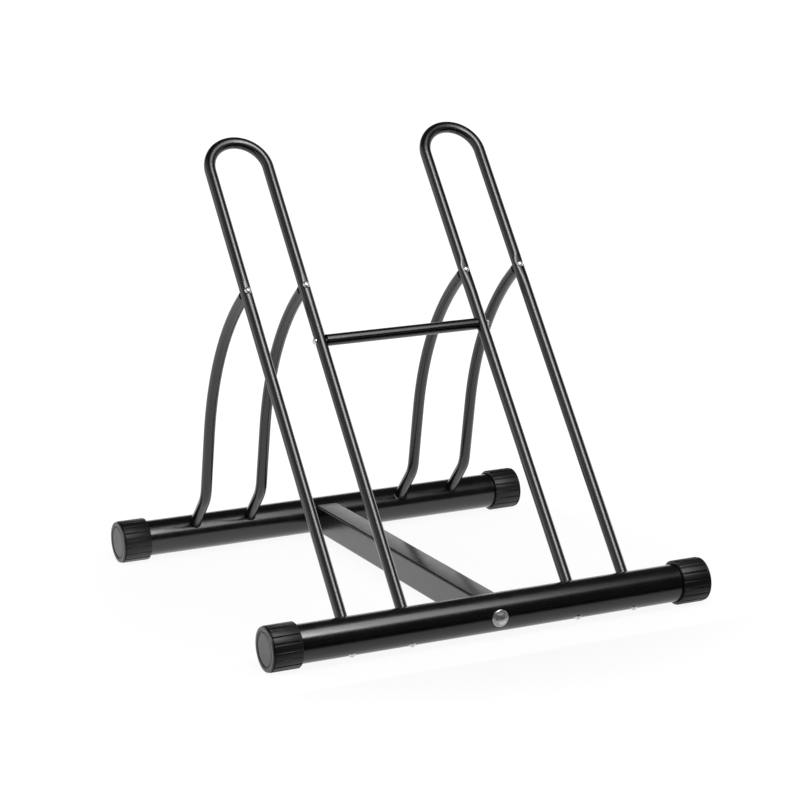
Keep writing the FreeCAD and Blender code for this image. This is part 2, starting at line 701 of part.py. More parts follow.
def nut_plate(label, y, turn):
    """The plate welded inside a beam end, which the bolt pulls on."""
    body = new_body(label)
    section = new_sketch(body, label + "Section", "XY_Plane")
    add_rectangle(section, "Edge", "(BeamWidth - 2 * BeamWall - 2 * SeatGap)",
                  "(BeamHeight - 2 * BeamWall - 2 * SeatGap)")
    add_circle(section, "Hole", "BoltHole")
    pad(body, section, "NutPlateThickness")
    place(body, y=y, z="BaseHeight", turn=turn)
    return body


def nut(label, y, turn):
    body = new_body(label)
    section = new_sketch(body, label + "Section", "XY_Plane")
    add_hexagon(section, "Edge", "NutFlats")
    add_circle(section, "Thread", "TappedBoltHole")
    pad(body, section, "NutHeight")
    place(body, y=y, z="BaseHeight", turn=turn)
    return body


washers = []
plates = []
nuts = []
for row_name, row_y, inward, turn in (("front", FRONT_Y, "+", "-90"),
                                      ("rear", REAR_Y, "-", "90")):
    outward = "-" if inward == "+" else "+"
    nodes.append(beam_bolt(row_name + "_beam_bolt",
                           "%s %s BoltSeat" % (row_y, outward), turn))
    washers.append(washer(row_name + "_washer", "%s %s (TubeRadius + SeatGap + WasherThickness)"
                          % (row_y, outward), turn))
    plates.append(nut_plate(row_name + "_plate", "%s %s NutPlateStart" % (row_y, inward), turn))
    nuts.append(nut(row_name + "_nut", "%s %s NutStart" % (row_y, inward), turn))
nodes.append(group("beam_washers", washers))
nodes.append(group("beam_nut_plates", plates))
nodes.append(group("beam_nuts", nuts))


# ---------------------------------------------------------------- check and write
doc.recompute()
for item in doc.Objects:
    if "Invalid" in item.State or "Error" in item.State:
        raise RuntimeError("%s did not recompute: %s" % (item.Label, item.State))
for item in nodes:
    if item.Shape.isNull() or not item.Shape.isValid():
        raise RuntimeError("%s has no valid shape" % item.Label)
for item in nodes:
    item.Shape.exportStep("parts/%s.step" % item.Label)
    print("%-20s %d solid(s) %10.1f mm3" % (item.Label, len(item.Shape.Solids), item.Shape.Volume))
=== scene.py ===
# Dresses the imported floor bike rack: enamelled tubes, moulded end caps and zinc
# fasteners, on a white studio floor.  Everything is in metres, in the frame's own axes.
from math import atan, cos, pi, radians, sin, sqrt, tan

import bmesh
import bpy
from bpy.props import FloatProperty, FloatVectorProperty, IntProperty, PointerProperty, StringProperty
from bpy.types import Operator, Panel, PropertyGroup
from mathutils import Matrix, Vector


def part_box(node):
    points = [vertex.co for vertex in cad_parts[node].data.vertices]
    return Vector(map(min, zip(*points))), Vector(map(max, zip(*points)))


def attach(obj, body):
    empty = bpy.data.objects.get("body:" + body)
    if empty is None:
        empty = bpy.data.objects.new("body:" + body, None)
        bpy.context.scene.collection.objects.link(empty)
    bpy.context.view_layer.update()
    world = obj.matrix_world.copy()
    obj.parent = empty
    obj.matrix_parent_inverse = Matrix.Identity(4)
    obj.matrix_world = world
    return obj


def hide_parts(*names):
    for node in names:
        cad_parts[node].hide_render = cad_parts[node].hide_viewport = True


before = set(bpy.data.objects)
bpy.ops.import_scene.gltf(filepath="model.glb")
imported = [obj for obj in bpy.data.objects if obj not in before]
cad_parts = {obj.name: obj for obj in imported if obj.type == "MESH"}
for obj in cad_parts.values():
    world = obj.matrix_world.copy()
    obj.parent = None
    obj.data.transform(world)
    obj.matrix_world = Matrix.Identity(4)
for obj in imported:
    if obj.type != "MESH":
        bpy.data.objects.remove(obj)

bl_info = {
    "name": "Floor Bike Rack",
    "version": (1, 0, 0),
    "blender": (4, 5, 0),
    "location": "View3D > Sidebar > Rack",
    "description": "Finished pieces, materials and studio of a two-bicycle floor rack",
    "category": "Object",
}

MM = 0.001
SEAT_GAP = 0.1 * MM          # a piece and what it rests on
SHARP = radians(35)          # faces that meet at more than this keep a hard edge


def middle(node):
    low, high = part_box(node)
    return (low + high) / 2


def span(node):
    low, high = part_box(node)
    return high - low


FRONT = middle("front_base_tube")
REAR = middle("rear_base_tube")
BASE_RADIUS = span("front_base_tube").z / 2
HOOP_TUBE = 16 * MM
SKIN = 0.02 * MM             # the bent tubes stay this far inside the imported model's box
ALONG_X = Matrix.Rotation(pi / 2, 4, "Y")     # lays what is made along Z along X
HOOPS = {name: middle(name).x for name in ("left_hoop", "right_hoop")}
LEG_SPACING = span("left_hoop").x - HOOP_TUBE
BRACES = {name: middle(name).x for name in (
    "left_outer_brace", "left_inner_brace", "right_inner_brace", "right_outer_brace")}
CAPS = ("front_left_cap", "front_right_cap", "rear_left_cap", "rear_right_cap")


# -------- sizes and colours
class BaseSizes(PropertyGroup):
    wall: FloatProperty(
        name="Tube wall", description="Wall of both base tubes",
        default=1.5 * MM, unit="LENGTH")
    entry_gap: FloatProperty(
        name="Entry gap", description="Clearance all round a tube where it enters a base tube",
        default=0.4 * MM, unit="LENGTH")
    lip_height: FloatProperty(
        name="Lip height", description="How far the punched holes are drawn outwards",
        default=0.35 * MM, unit="LENGTH")
    lip_width: FloatProperty(
        name="Lip width", description="Width of the drawn lip round a hole",
        default=2.2 * MM, unit="LENGTH")
    dent_depth: FloatProperty(
        name="Dent depth", description="How far a screw head has pulled the tube in",
        default=0.8 * MM, unit="LENGTH")
    dent_reach: FloatProperty(
        name="Dent reach", description="Radius of that dent", default=9 * MM, unit="LENGTH")


class CapSizes(PropertyGroup):
    face_radius: FloatProperty(
        name="Face radius", description="Radius of the end disc",
        default=29.3 * MM, unit="LENGTH")
    face_depth: FloatProperty(
        name="Face depth", description="End disc to the groove behind it",
        default=2.4 * MM, unit="LENGTH")
    bore_floor: FloatProperty(
        name="Bore floor", description="End disc to the bottom of the bore",
        default=5 * MM, unit="LENGTH")
    groove: FloatProperty(
        name="Groove width", description="Fine groove between end disc and skirt",
        default=1.1 * MM, unit="LENGTH")
    rim_width: FloatProperty(
        name="Rim width", description="Raised ring round the face",
        default=5.2 * MM, unit="LENGTH")
    disc_radius: FloatProperty(
        name="Disc radius", description="Radius of the dished middle",
        default=21 * MM, unit="LENGTH")
    flutes: IntProperty(
        name="Flutes", description="Grooves round the skirt", default=18, min=3)
    flute_width: FloatProperty(
        name="Flute width", description="Width of one groove", default=2.2 * MM, unit="LENGTH")
    flute_depth: FloatProperty(
        name="Flute depth", description="Depth of one groove", default=1.1 * MM, unit="LENGTH")


class HoopSizes(PropertyGroup):
    wall: FloatProperty(
        name="Tube wall", description="Wall of the hoop, brace and crossbar tubes",
        default=1.5 * MM, unit="LENGTH")
    lean: FloatProperty(
        name="Lean", description="How far the hoops lean back from upright",
        default=radians(38), subtype="ANGLE")
    arc_height: FloatProperty(
        name="Arc height", description="Along the leg, front tube axis to the centre of the arc",
        default=686 * MM, unit="LENGTH")
    brace_height: FloatProperty(
        name="Brace height", description="Along the leg, front tube axis to the brace screw",
        default=497 * MM, unit="LENGTH")
    bar_height: FloatProperty(
        name="Crossbar height", description="Along the leg, front tube axis to the crossbar",
        default=415 * MM, unit="LENGTH")
    right_dent: FloatProperty(
        name="Right hoop dent", description="Dent under a brace screw in the right hoop",
        default=2.7 * MM, unit="LENGTH")
    left_dent: FloatProperty(
        name="Left hoop dent", description="Dent under a brace screw in the left hoop",
        default=0.5 * MM, unit="LENGTH")
    seat: FloatProperty(
        name="Seat radius", description="Flat pressed under a screw's head",
        default=6.0 * MM, unit="LENGTH")
    dent_reach: FloatProperty(
        name="Dent reach", description="Radius of a dent in a hoop leg",
        default=20 * MM, unit="LENGTH")


class BraceSizes(PropertyGroup):
    top_run: FloatProperty(
        name="Top run", description="Straight stretch behind the hoop leg",
        default=14 * MM, unit="LENGTH")
    foot_lean: FloatProperty(
        name="Foot lean", description="Lean of the foot from upright, above the rear tube",
        default=radians(42.8), subtype="ANGLE")
    foot_run: FloatProperty(
        name="Foot run", description="Rear tube axis to the corner of the knee",
        default=90.6 * MM, unit="LENGTH")
    shin_run: FloatProperty(
        name="Shin run", description="Corner of the knee to the end of the long sweep",
        default=100 * MM, unit="LENGTH")
    knee_radius: FloatProperty(
        name="Knee radius", description="Bend radius at the knee",
        default=50 * MM, unit="LENGTH")


class FastenerSizes(PropertyGroup):
    head: FloatProperty(
        name="Head diameter", description="Pan head of an M5 screw",
        default=9.5 * MM, unit="LENGTH")
    head_height: FloatProperty(
        name="Head height", description="Pan head of an M5 screw",
        default=3.7 * MM, unit="LENGTH")
    shank: FloatProperty(
        name="Screw shank", description="Outer diameter of the thread",
        default=5 * MM, unit="LENGTH")
    reach: FloatProperty(
        name="Screw reach", description="How far a screw enters its insert",
        default=12 * MM, unit="LENGTH")
    flats: FloatProperty(
        name="Across flats", description="Hexagon of an M8 bolt", default=13 * MM, unit="LENGTH")
    bolt_shank: FloatProperty(
        name="Bolt shank", description="Outer diameter of the thread",
        default=8 * MM, unit="LENGTH")
    washer: FloatProperty(
        name="Washer", description="Outer diameter of a washer", default=23 * MM, unit="LENGTH")
    washer_thickness: FloatProperty(
        name="Washer thickness", description="Thickness of a washer",
        default=2 * MM, unit="LENGTH")


class Finishes(PropertyGroup):
    enamel: StringProperty(
        name="Enamel", description="sRGB colour of the tubes", default="0b0b0b")
    skirt: StringProperty(
        name="Cap skirt", description="sRGB colour of the caps' skirts", default="0e0e0f")
    # the end discs' colour is the skirts' plastic painted lighter: painted light where the light
    # falls on the discs
    face: StringProperty(
        name="Cap face", description="sRGB colour of the caps' end discs", default="4a4a4a")
    zinc: StringProperty(
        name="Zinc", description="sRGB colour of the plated steel", default="cfd0d2")
    peel: FloatProperty(
        name="Orange peel", description="Size of the ripple left in the enamel",
        default=2.2 * MM, unit="LENGTH")
    grain: FloatProperty(
        name="Plastic grain", description="Size of the spark-etched grain on the caps",
        default=0.9 * MM, unit="LENGTH")


class StudioSettings(PropertyGroup):
    camera_place: FloatVectorProperty(
        name="Camera", description="Where the photograph was taken from",
        default=(-1.4986, -3.1348, 1.0742), subtype="TRANSLATION")
    yaw: FloatProperty(
        name="Yaw", description="Camera turned from +Y towards +X",
        default=radians(25.583), subtype="ANGLE")
    pitch: FloatProperty(
        name="Pitch", description="Camera above the horizon", default=radians(-13.206),
        subtype="ANGLE")
    roll: FloatProperty(
        name="Roll", description="Camera turned about its own axis",
        default=radians(-0.755), subtype="ANGLE")
    lens: FloatProperty(
        name="Lens", description="Focal length in millimetres on a 36 mm sensor",
        default=116.97)
    floor_side: FloatProperty(
        name="Floor", description="Side of the square floor", default=80.0, unit="LENGTH")
    floor_colour: StringProperty(
        name="Floor colour", description="sRGB colour of the floor", default="f0f0f0")


# -------- mesh helpers
def ring_edges(made):
    return [item for item in made if isinstance(item, bmesh.types.BMEdge) and item.is_boundary]


def ring_verts(made):
    return [item for item in made if isinstance(item, bmesh.types.BMVert)]


def start_ring(bm, radius, segments, matrix):
    """An open circle of edges, its own Z being the way the tube will run."""
    made = bmesh.ops.create_circle(bm, segments=segments, radius=radius, matrix=matrix)
    return list({edge for vert in made["verts"] for edge in vert.link_edges})


def run_on(bm, ring, direction, stops):
    """Extrude a ring straight on, with a new ring at each distance in stops."""
    before = 0
    for stop in stops:
        made = bmesh.ops.extrude_edge_only(bm, edges=ring)["geom"]
        ring = ring_edges(made)
        bmesh.ops.translate(bm, verts=ring_verts(made), vec=direction * (stop - before))
        before = stop
    return ring


def bend(bm, ring, centre, axis, angle, steps):
    """Carry a ring round a bend."""
    verts = list({vert for edge in ring for vert in edge.verts})
    made = bmesh.ops.spin(bm, geom=verts + ring, cent=centre, axis=axis, angle=angle,
                          steps=steps, use_duplicate=False)
    return [item for item in made["geom_last"] if isinstance(item, bmesh.types.BMEdge)]


def even_stops(length, step):
    count = max(1, round(length / step))
    return [length * (i + 1) / count for i in range(count)]


def close_stops(length, places, reach, fine, coarse):
    """Distances along a run, close together near each place and far apart elsewhere."""
    stops = []
    here = 0
    while here < length:
        near = any(abs(here - place) < reach for place in places)
        ahead = [place - reach - here for place in places if place - reach > here]
        step = fine if near else min([coarse] + [max(gap, fine) for gap in ahead])
        here = min(here + step, length)
        stops.append(here)
    return stops


def thicken(bm, wall):
    """Turn an open skin into a tube with a wall inside it."""
    bmesh.ops.remove_doubles(bm, verts=bm.verts, dist=1e-6)
    bmesh.ops.recalc_face_normals(bm, faces=bm.faces)
    bmesh.ops.solidify(bm, geom=bm.faces[:] + bm.edges[:] + bm.verts[:], thickness=wall)
    bmesh.ops.recalc_face_normals(bm, faces=bm.faces)


def as_object(bm, name, *materials):
    mesh = bpy.data.meshes.new(name)
    bm.to_mesh(mesh)
    bm.free()
    for material in materials:
        mesh.materials.append(material)
    item = bpy.data.objects.new(name, mesh)
    bpy.context.scene.collection.objects.link(item)
    return item


def carve(item, cutter, operation="DIFFERENCE"):
    """Cut one object's shape with another's, and drop the cutter."""
    modifier = item.modifiers.new("carve", "BOOLEAN")
    modifier.operation = operation
    modifier.solver = "EXACT"
    modifier.object = cutter
    evaluated = item.evaluated_get(bpy.context.evaluated_depsgraph_get())
    mesh = bpy.data.meshes.new_from_object(evaluated)
    item.modifiers.clear()
    item.data = mesh
    bpy.data.objects.remove(cutter)


def dress(item, slot, *nodes):
    """Smooth a finished piece and set it in place of its CAD nodes."""
    item.data.shade_smooth()
    item.data.set_sharp_from_angle(angle=SHARP)
    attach(item, "root")
    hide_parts(*nodes)
    return item


def falloff(distance):
    """1 in the middle of a dent and 0 at its edge, smooth at both."""
    return max(0.0, 1 - distance * distance) ** 2


def hoop_frame(x=0.0):
    """A hoop's own frame: Z up the legs from the front tube's axis, Y out of its back."""
    lean = bpy.context.scene.rack_hoops.lean
    return Matrix.Translation((x, FRONT.y, FRONT.z)) @ Matrix.Rotation(-lean, 4, "X")


def entry_depth():
    """From a base tube's axis to the end of a tube that stands on its inner wall."""
    bore = BASE_RADIUS - bpy.context.scene.rack_base.wall
    return sqrt(bore ** 2 - (HOOP_TUBE / 2) ** 2) - SEAT_GAP


# -------- materials
def linear(text):
    """A linear colour from an sRGB hex value."""
    out = []
    for i in (0, 2, 4):
        part = int(text[i:i + 2], 16) / 255
        out.append(part / 12.92 if part <= 0.04045 else ((part + 0.055) / 1.055) ** 2.4)
    return (*out, 1.0)


def add_node(tree, kind, inputs, **settings):
    """A node with its settings; an input given as a socket is linked."""
    node = tree.nodes.new(kind)
    for name, value in settings.items():
        setattr(node, name, value)
    for name, value in inputs.items():
        if isinstance(value, bpy.types.NodeSocket):
            tree.links.new(value, node.inputs[name])
        else:
            node.inputs[name].default_value = value
    return node


def per(size):
    """A texture scale from the real size of one feature, in metres."""
    return 1 / size


def new_surface(name):
    material = bpy.data.materials.new(name)
    material.use_nodes = True
    tree = material.node_tree
    tree.nodes.clear()
    place = add_node(tree, "ShaderNodeTexCoord", {}).outputs["Object"]
    return material, tree, place


PATTERN = (0.3, 0.7)         # nearly all of a noise pattern lies between these


def mottled_finish(name, colour, tones, roughness, patterns, relief, shine):
    """A surface whose colour, roughness and relief follow noise patterns, whose sizes and
    details patterns gives in that order.  tones are the darkest and the lightest share of
    the colour, relief is the strength and the depth of the bumps."""
    material, tree, place = new_surface(name)
    cloud, patches, bumps = [
        add_node(tree, "ShaderNodeTexNoise", {
            "Vector": place, "Scale": per(size), "Detail": detail}).outputs["Fac"]
        for size, detail in patterns]
    ramp = add_node(tree, "ShaderNodeValToRGB", {"Fac": cloud})
    for stop, position, tone in zip(ramp.color_ramp.elements, PATTERN, tones):
        stop.position = position
        stop.color = (*[min(1.0, part * tone) for part in linear(colour)[:3]], 1.0)
    uneven = add_node(tree, "ShaderNodeMapRange", {
        "Value": patches, "From Min": PATTERN[0], "From Max": PATTERN[1],
        "To Min": roughness[0], "To Max": roughness[1]})
    bump = add_node(tree, "ShaderNodeBump", {
        "Height": bumps, "Strength": relief[0], "Distance": relief[1]})
    shader = add_node(tree, "ShaderNodeBsdfPrincipled", {
        "Base Color": ramp.outputs["Color"], "Roughness": uneven.outputs["Result"],
        "Normal": bump.outputs["Normal"], **shine})
    add_node(tree, "ShaderNodeOutputMaterial", {"Surface": shader.outputs[0]})
    return material


def black_enamel():
    """Baked semi-gloss enamel on steel tube: near black, clear reflections, and the
    slight ripple of sprayed paint that softens a highlight's edge."""
    finish = bpy.context.scene.rack_finishes
    return mottled_finish(
        "baked black enamel", finish.enamel, tones=(0.85, 1.2), roughness=(0.2, 0.25),
        patterns=((60 * MM, 2.0), (18 * MM, 2.0), (finish.peel, 2.0)),
        relief=(0.1, 0.02 * MM), shine={"IOR": 1.5})


def cap_plastic(name, colour, roughness, sheen, depth):
    """Injection moulded polypropylene, with the fine grain of a spark-etched mould, which
    breaks reflections into a soft sheen and shades some of it away."""
    grain = (bpy.context.scene.rack_finishes.grain, 3.0)
    return mottled_finish(
        name, colour, tones=(0.9, 1.12), roughness=roughness,
        patterns=((9 * MM, 2.0), grain, grain), relief=(0.5, depth),
        shine={"IOR": 1.49, "Specular IOR Level": sheen})


def bright_zinc():
    """Bright zinc plate on steel: silvery, a little cloudy, with fine wrench marks."""
    cloud = (3 * MM, 3.0)
    return mottled_finish(
        "bright zinc plate", bpy.context.scene.rack_finishes.zinc, tones=(0.8, 1.0),
        roughness=(0.28, 0.42), patterns=(cloud, cloud, (0.8 * MM, 4.0)),
        relief=(0.3, 0.02 * MM), shine={"Metallic": 1.0})


MATERIALS = {}


def material_of(name):
    """Each finish is made once, when a piece first asks for it."""
    finish = bpy.context.scene.rack_finishes
    if name not in MATERIALS:
        makers = {
            "enamel": black_enamel,
            "skirt": lambda: cap_plastic("etched black plastic", finish.skirt, (0.36, 0.46),
                                         0.3, 0.03 * MM),
            # the end discs' finish is the skirts' plastic with painted light, a lighter colour for
            # the light on them
            "face": lambda: cap_plastic("black plastic painted lighter", finish.face, (0.42, 0.56),
                                        0.5, 0.04 * MM),
            "zinc": bright_zinc,
        }
        MATERIALS[name] = makers[name]()
    return MATERIALS[name]


# -------- base tubes
BASE_SEGMENTS = 144
FINE = 1.0 * MM
COARSE = 30 * MM
FINE_REACH = 16 * MM         # close rings this far to either side of a hole
SCREW_HOLE = 3 * MM          # radius
BOLT_HOLE = 4.3 * MM         # radius


def base_tube_piece(name, node, direction, sizes):
    """A base tube with drawn lips where tubes stand in it and a dent round each screw.
    direction points up a tube that stands in it."""
    low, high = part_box(node)
    axis = (low + high) / 2
    bm = bmesh.new()
    start = Matrix.Translation((low.x, axis.y, axis.z)) @ ALONG_X
    ring = start_ring(bm, BASE_RADIUS, BASE_SEGMENTS, start)
    places = [x - low.x for x in BRACES.values()]
    stops = close_stops(high.x - low.x, places, FINE_REACH, FINE, COARSE)
    run_on(bm, ring, Vector((1, 0, 0)), stops)
    hole = HOOP_TUBE / 2 + sizes.entry_gap
    for vert in bm.verts:
        outward = Vector((0, vert.co.y - axis.y, vert.co.z - axis.z)).normalized()
        for x in BRACES.values():
            offset = vert.co - Vector((x, axis.y, axis.z))
            along = offset.dot(direction)
            distance = (offset - direction * along).length
            if along > 0:
                rise = falloff(max(0.0, distance - hole) / sizes.lip_width)
                vert.co += outward * sizes.lip_height * rise
            else:
                vert.co -= outward * sizes.dent_depth * falloff(distance / sizes.dent_reach)
    thicken(bm, sizes.wall)
    item = as_object(bm, name, material_of("enamel"))
    cutter = bmesh.new()
    turn = Vector((0, 0, 1)).rotation_difference(direction).to_matrix().to_4x4()
    for x in BRACES.values():
        centre = Matrix.Translation((x, axis.y, axis.z)) @ turn
        for radius, rank in ((hole, 1), (SCREW_HOLE, -1)):
            shift = Matrix.Translation((0, 0, rank * BASE_RADIUS))
            bmesh.ops.create_cone(cutter, cap_ends=True, segments=64, radius1=radius,
                                  radius2=radius, depth=BASE_RADIUS, matrix=centre @ shift)
    through = Matrix.Translation(axis) @ Matrix.Rotation(pi / 2, 4, "X")
    bmesh.ops.create_cone(cutter, cap_ends=True, segments=48, radius1=BOLT_HOLE,
                          radius2=BOLT_HOLE, depth=4 * BASE_RADIUS, matrix=through)
    carve(item, as_object(cutter, "cutter"))
    return dress(item, "painted_tube", node)


class RACK_OT_base_tubes(Operator):
    """Two large tubes that lie along the front and the rear"""
    bl_idname = "rack.base_tubes"
    bl_label = "Base tubes"

    def execute(self, context):
        scene = context.scene
        lean = scene.rack_hoops.lean
        foot = scene.rack_braces.foot_lean
        base_tube_piece("front_tube_enamelled", "front_base_tube",
                        Vector((0, sin(lean), cos(lean))), scene.rack_base)
        base_tube_piece("rear_tube_enamelled", "rear_base_tube",
                        Vector((0, -sin(foot), cos(foot))), scene.rack_base)
        return {"FINISHED"}


# -------- end caps
FLUTE_PHASES = {          # where a groove lies, from +Y towards +Z
    "front_left_cap": radians(15),
    "front_right_cap": radians(2.5),
    "rear_left_cap": radians(3),
    "rear_right_cap": radians(12),
}
BORE_GAP = 0.15 * MM         # all round, between a cap and its tube
GROOVE_DEPTH = 1.9 * MM      # below the skirt
PAINTED_RIM_LIGHT = 1.1 * MM      # how far back from the face the outer edge gets the lighter plastic, a painted rim highlight


def fluted_outline(bm, radius, sizes, phase):
    """The skirt's outline in the YZ plane: one panel and one groove, spun all round."""
    half = sizes.flute_width / 2 / radius
    pitch = 2 * pi / sizes.flutes
    steps = [(0.0, sizes.flute_depth), (0.45 * half, 0.85 * sizes.flute_depth),
             (0.8 * half, 0.45 * sizes.flute_depth), (half, 0.12 * sizes.flute_depth),
             (1.3 * half, 0.0)]
    panel = [(half * 1.3 + (pitch - 2.6 * half) * i / 6, 0.0) for i in range(1, 6)]
    mirror = [(pitch - angle, sink) for angle, sink in reversed(steps)]
    verts = []
    for angle, sink in steps + panel + mirror:
        away = radius - sink
        verts.append(bm.verts.new((0, away * cos(angle + phase), away * sin(angle + phase))))
    edges = [bm.edges.new(pair) for pair in zip(verts, verts[1:])]
    bmesh.ops.spin(bm, geom=verts + edges, cent=(0, 0, 0), axis=(1, 0, 0), angle=2 * pi,
                   steps=sizes.flutes, use_duplicate=True)
    bmesh.ops.remove_doubles(bm, verts=bm.verts, dist=1e-5)
    return bm.edges[:]


def next_ring(bm, ring, x, radius=None, scale=1.0):
    """Extrude a ring to another place along X, round at a radius, or scaled as it is."""
    made = bmesh.ops.extrude_edge_only(bm, edges=ring)["geom"]
    for vert in ring_verts(made):
        across = Vector((0, vert.co.y, vert.co.z))
        across = across * scale if radius is None else across.normalized() * radius
        vert.co = Vector((x, across.y, across.z))
    return ring_edges(made)


def end_cap_piece(node, sizes):
    """A moulded cap, made with its face at x = 0 and its skirt towards +X."""
    low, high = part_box(node)
    radius = (high.z - low.z) / 2
    length = high.x - low.x
    bore = BASE_RADIUS + BORE_GAP
    centre = (low + high) / 2
    skirt_start = sizes.face_depth + sizes.groove
    bm = bmesh.new()
    ring = fluted_outline(bm, radius, sizes, FLUTE_PHASES[node])
    for vert in bm.verts:
        vert.co.x = skirt_start + 0.5 * MM
    # along the skirt to its mouth, then back up the bore
    for x, scale in ((length - 0.8 * MM, 1.0), (length - 0.25 * MM, 0.990), (length, 0.972)):
        ring = next_ring(bm, ring, x, scale=scale)
    for x, away in ((length, bore + 1.0 * MM), (length - 0.8 * MM, bore), (sizes.bore_floor, bore)):
        ring = next_ring(bm, ring, x, away)
    bmesh.ops.holes_fill(bm, edges=ring, sides=0)
    # from the skirt's start into the groove, and over the end disc
    face = sizes.face_radius
    rim = face - sizes.rim_width
    disc = sizes.disc_radius
    ring = next_ring(bm, [edge for edge in bm.edges if edge.is_boundary], skirt_start, scale=0.986)
    profile = [
        (skirt_start, radius - GROOVE_DEPTH),
        (sizes.face_depth, radius - GROOVE_DEPTH),
        (sizes.face_depth, face - 0.2 * MM),
        (sizes.face_depth - 0.3 * MM, face),
        (1.3 * MM, face),
        (0.75 * MM, face - 0.12 * MM),
        (0.35 * MM, face - 0.4 * MM),
        (0.1 * MM, face - 0.85 * MM),
        (0.0, face - 1.4 * MM),
        (0.0, rim + 0.7 * MM),
        (0.15 * MM, rim + 0.2 * MM),
        (0.6 * MM, rim - 0.1 * MM),
        (1.5 * MM, rim - 0.4 * MM),
        (1.95 * MM, rim - 0.9 * MM),
        (2.0 * MM, disc + 1.4 * MM),
        (1.85 * MM, disc + 0.9 * MM),
        (1.3 * MM, disc + 0.4 * MM),
        (0.8 * MM, disc),
        (0.66 * MM, disc - 0.8 * MM),
        (0.75 * MM, disc * 0.6),
        (0.82 * MM, disc * 0.25),
    ]
    face_start = len(bm.faces)
    for place, away in profile:
        ring = next_ring(bm, ring, place, away)
    bmesh.ops.holes_fill(bm, edges=ring, sides=0)
    bm.faces.ensure_lookup_table()
    # the end disc gets the lighter plastic, painted light on it, and so does the front of its outer
    # edge, a painted rim highlight
    for face_item in bm.faces[face_start:]:
        spot = face_item.calc_center_median()
        inside = sqrt(spot.y ** 2 + spot.z ** 2) < face - 2 * MM
        if spot.x < (sizes.face_depth if inside else PAINTED_RIM_LIGHT):
            face_item.material_index = 1
    end = low.x
    if centre.x > 0:
        bmesh.ops.scale(bm, vec=(-1, 1, 1), verts=bm.verts)
        end = high.x
    place = Matrix.Translation((end, centre.y, centre.z))
    bmesh.ops.transform(bm, matrix=place, verts=bm.verts)
    bmesh.ops.recalc_face_normals(bm, faces=bm.faces)
    item = as_object(bm, node + "_moulded", material_of("skirt"), material_of("face"))
    return dress(item, "cap_plastic", node)


class RACK_OT_end_caps(Operator):
    """Four moulded caps that the rack stands on"""
    bl_idname = "rack.end_caps"
    bl_label = "End caps"

    def execute(self, context):
        for node in CAPS:
            end_cap_piece(node, context.scene.rack_caps)
        return {"FINISHED"}


# -------- centre beam
BEAM_WALL = 2 * MM
BEAM_CORNER = 3 * MM         # radius of its long edges


class RACK_OT_beam(Operator):
    """The rectangular tube between the base tubes"""
    bl_idname = "rack.beam"
    bl_label = "Centre beam"

    def execute(self, context):
        size = span("centre_beam")
        centre = middle("centre_beam")
        bm = bmesh.new()
        bmesh.ops.create_cube(bm, size=1.0)
        bmesh.ops.scale(bm, vec=(size.x, REAR.y - FRONT.y, size.z), verts=bm.verts)
        bmesh.ops.delete(bm, geom=[face for face in bm.faces if abs(face.normal.y) > 0.5],
                         context="FACES_ONLY")
        long_edges = [edge for edge in bm.edges
                      if abs(edge.verts[0].co.y - edge.verts[1].co.y) > size.x]
        bmesh.ops.bevel(bm, geom=long_edges, offset=BEAM_CORNER, segments=8, affect="EDGES",
                        profile=0.5, material=-1)
        thicken(bm, BEAM_WALL)
        bmesh.ops.translate(bm, verts=bm.verts, vec=centre)
        item = as_object(bm, "beam_enamelled", material_of("enamel"))
        cutter = bmesh.new()
        seat = BASE_RADIUS + SEAT_GAP
        for axis in (FRONT, REAR):
            turn = Matrix.Translation(axis) @ ALONG_X
            bmesh.ops.create_cone(cutter, cap_ends=True, segments=BASE_SEGMENTS, radius1=seat,
                                  radius2=seat, depth=2 * size.x, matrix=turn)
        carve(item, as_object(cutter, "cutter"))
        dress(item, "painted_tube", "centre_beam")
        return {"FINISHED"}


# -------- hoops
TUBE_SEGMENTS = 64
BAR_DENT = 0.6 * MM          # under a crossbar screw
BAR_DENT_SHARE = 0.55        # its reach, against that of a dent under a brace screw


def dent(bm, place, outward, along, depth, seat, reach):
    """Press a tube flat under a screw's head, and blend that seat out to the round tube."""
    across = outward.cross(along)
    for vert in bm.verts:
        offset = vert.co - place
        rise = offset.dot(outward)
        if abs(rise) > HOOP_TUBE / 2:          # the far side of the tube, and the other leg
            continue
        away = sqrt(offset.dot(along) ** 2 + offset.dot(across) ** 2)
        share = min(1.0, max(0.0, (reach - away) / (reach - seat)))
        proud = (rise + depth) / depth
        press = depth * (proud + sqrt(proud ** 2 + 1)) / (1 + sqrt(2))
        vert.co -= outward * press * share * share * (3 - 2 * share)


